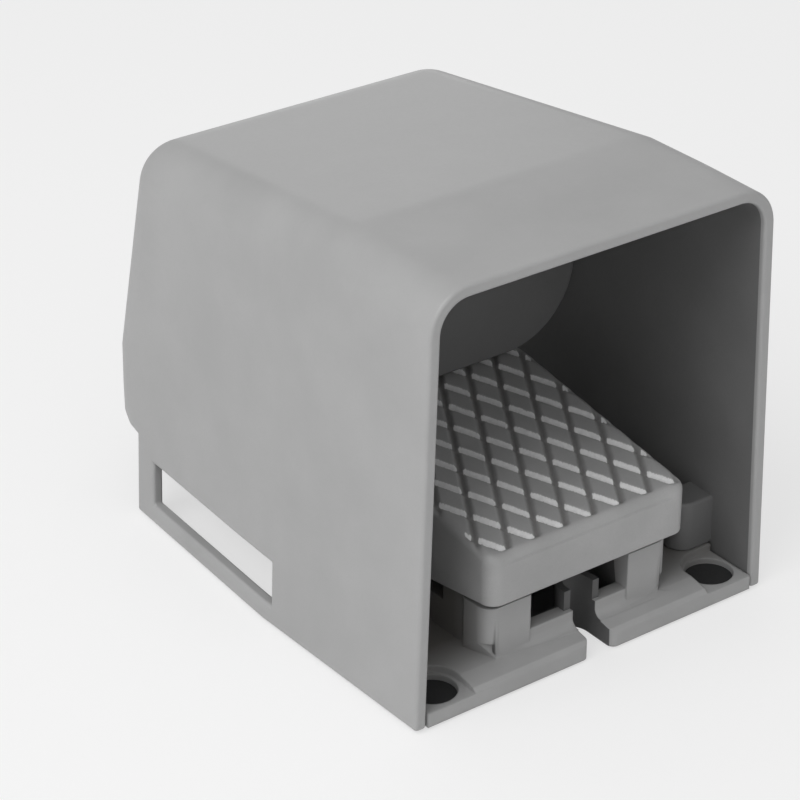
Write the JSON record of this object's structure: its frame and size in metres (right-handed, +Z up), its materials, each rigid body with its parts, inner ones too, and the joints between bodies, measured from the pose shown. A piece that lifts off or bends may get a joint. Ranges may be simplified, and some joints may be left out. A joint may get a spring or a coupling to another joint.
{
  "type": "industrial foot switch",
  "caption": "Heavy guarded foot switch: cast hood with open front, hinged diamond-tread treadle on a cast base, sealed plunger switch, slotted foot for floor fixing and rear cable gland.",
  "frame": {"origin": "on the floor, under the middle of the whole switch's bounding box", "axes": "+Z up, +X to the right as the user faces the switch, +Y from the open front towards the rear and its cable gland"},
  "size_m": [0.144, 0.19, 0.146],
  "materials": {
    "castings": "cast, light grey satin enamel",
    "treadle": "cast, grey enamel worn bright on the tread",
    "box": "cast, plain",
    "steel": "zinc plated",
    "spring_steel": "drawn wire",
    "bronze": "sintered bronze",
    "contact_metal": "silver tipped brass",
    "rubber": "moulded black rubber",
    "black_plastic": "moulded",
    "blue_plastic": "moulded",
    "cream_plastic": "moulded",
    "gland_metal": "nickel plated"
  },
  "bodies": {
    "frame": {"hood": "castings", "base": "castings", "pivot_pin": "steel", "pin_clips": "spring_steel", "return_spring": "spring_steel", "spring_seat": "black_plastic", "buffers": "rubber", "stop_bracket": "steel", "stop_pad": "rubber", "bracket_screws": "steel", "switch_box": "box", "box_gasket": "rubber", "box_cover": "box", "cover_screws": "steel", "box_screws": "steel", "plunger_seal": "rubber", "plunger_spring": "spring_steel", "contact_block": "cream_plastic", "fixed_contacts": "contact_metal", "terminal_screws": "steel", "block_screws": "steel", "earth_screw": "contact_metal", "hood_screws": "steel", "rubber_feet": "rubber", "gland_body": "gland_metal", "gland_seal": "rubber", "gland_nut": "gland_metal", "gland_locknut": "gland_metal"},
    "treadle": {"treadle": "treadle", "pivot_bushes": "bronze", "adjusting_screw": "steel", "adjusting_nut": "steel"},
    "plunger": {"plunger": "steel", "contact_carrier": "blue_plastic", "bridge_contacts": "contact_metal"}
  },
  "joints": [
    {"name": "treadle_hinge", "type": "hinge", "parent": "frame", "child": "treadle", "pos_m": [0, -0.071, 0.037], "axis": [-1, 0, 0], "range_deg": [0, 8], "stiffness_Nm_per_rad": 3, "springref_deg": -11.46, "deforming": ["return_spring"]},
    {"name": "plunger_slide", "type": "slide", "parent": "frame", "child": "plunger", "axis": [0, 0, -1], "range_m": [0, 0.007], "stiffness_N_per_m": 600, "springref_m": -0.004, "deforming": ["plunger_spring"]}
  ],
  "couplings": [
    {"joint": "plunger_slide", "follows": "treadle_hinge", "m_per_rad": 0.0487}
  ]
}
